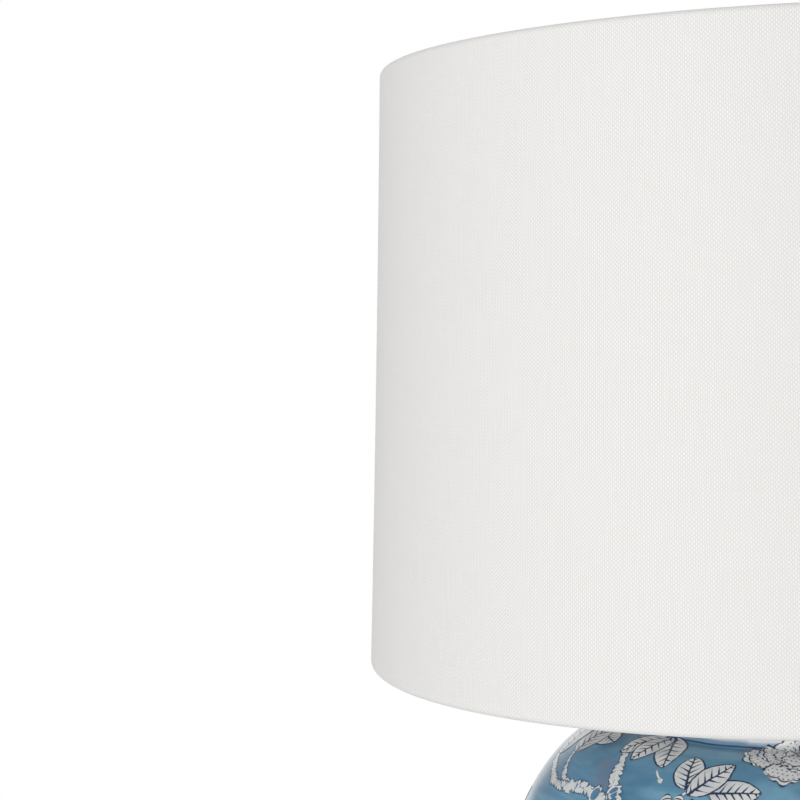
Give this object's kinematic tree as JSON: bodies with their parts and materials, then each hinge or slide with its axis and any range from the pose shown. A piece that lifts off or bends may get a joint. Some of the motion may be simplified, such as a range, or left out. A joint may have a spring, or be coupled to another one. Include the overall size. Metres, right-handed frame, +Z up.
{
  "type": "ginger jar table lamp",
  "caption": "Table lamp with a glazed ginger jar body, harp, screw-base bulb holder with turn switch, and a linen drum shade held by a finial.",
  "frame": {"origin": "centre of the felt pad's underside, on the surface that the lamp stands on", "axes": "+Z up along the lamp's axis; -Y is the front, where the switch knob is; +Y is the back, where the cord bush is; the harp lies in the XZ plane"},
  "size_m": [0.406, 0.406, 0.6635],
  "materials": {
    "glaze": "glossy clear glaze over blue and white painted stoneware",
    "felt": "dense wool felt",
    "linen": "off-white plain-weave linen",
    "styrene": "matte white styrene sheet",
    "ring_wire": "white powder-coated steel wire",
    "brass": "satin lacquered brass",
    "zinc_steel": "zinc-plated steel",
    "aluminium": "rolled aluminium",
    "solder": "dull solder",
    "phenolic": "moulded black phenolic",
    "black_plastic": "moulded black nylon",
    "fibre": "brown insulating fibre board",
    "rubber": "soft black rubber",
    "frosted_glass": "soft white frosted glass",
    "black_glass": "black moulded glass"
  },
  "bodies": {
    "base": {"felt_pad": "felt", "jar": "glaze", "cord_bush": "black_plastic", "lamp_pipe": "zinc_steel", "bottom_washer": "zinc_steel", "lock_washer": "zinc_steel", "hex_nut": "zinc_steel", "neck_gasket": "rubber", "vase_cap": "brass", "check_ring": "brass", "neck_spacer": "brass", "harp_saddle": "brass", "holder_cap": "brass", "holder_shell": "brass", "holder_sleeve": "fibre", "holder_body": "phenolic", "screw_shell": "aluminium", "centre_contact": "brass", "terminal_screws": "brass"},
    "knob": {"switch_spindle": "phenolic", "switch_knob": "phenolic"},
    "bulb": {"bulb_glass": "frosted_glass", "bulb_base": "aluminium", "bulb_insulator": "black_glass", "bulb_contact": "solder"},
    "harp": {"harp": "brass"},
    "sleeve_left": {"harp_sleeve_left": "brass"},
    "sleeve_right": {"harp_sleeve_right": "brass"},
    "stud": {"harp_stud": "brass"},
    "shade": {"shade_cover": "linen", "shade_liner": "styrene", "shade_top_ring": "ring_wire", "shade_bottom_ring": "ring_wire", "spider_arms": "ring_wire", "spider_hub": "ring_wire"},
    "finial": {"finial": "brass"}
  },
  "joints": [
    {"name": "knob_turn", "type": "hinge", "parent": "base", "child": "knob", "pos_m": [0, -0.0183, 0.4153], "axis": [0, -1, 0], "continuous": true},
    {"name": "bulb_out", "type": "slide", "parent": "base", "child": "bulb", "axis": [0, 0, 1], "range_m": [0, 0.027]},
    {"name": "harp_lift", "type": "slide", "parent": "base", "child": "harp", "axis": [0, 0, 1], "range_m": [0, 0.03]},
    {"name": "sleeve_left_lift", "type": "slide", "parent": "harp", "child": "sleeve_left", "axis": [0, 0, 1], "range_m": [0, 0.014]},
    {"name": "sleeve_right_lift", "type": "slide", "parent": "harp", "child": "sleeve_right", "axis": [0, 0, 1], "range_m": [0, 0.014]},
    {"name": "stud_swivel", "type": "hinge", "parent": "harp", "child": "stud", "pos_m": [0, 0, 0.6347], "axis": [0, 0, 1], "continuous": true},
    {"name": "shade_lift", "type": "slide", "parent": "stud", "child": "shade", "axis": [0, 0, 1], "range_m": [0, 0.28]},
    {"name": "finial_off", "type": "slide", "parent": "shade", "child": "finial", "axis": [0, 0, 1], "range_m": [0, 0.014]}
  ]
}
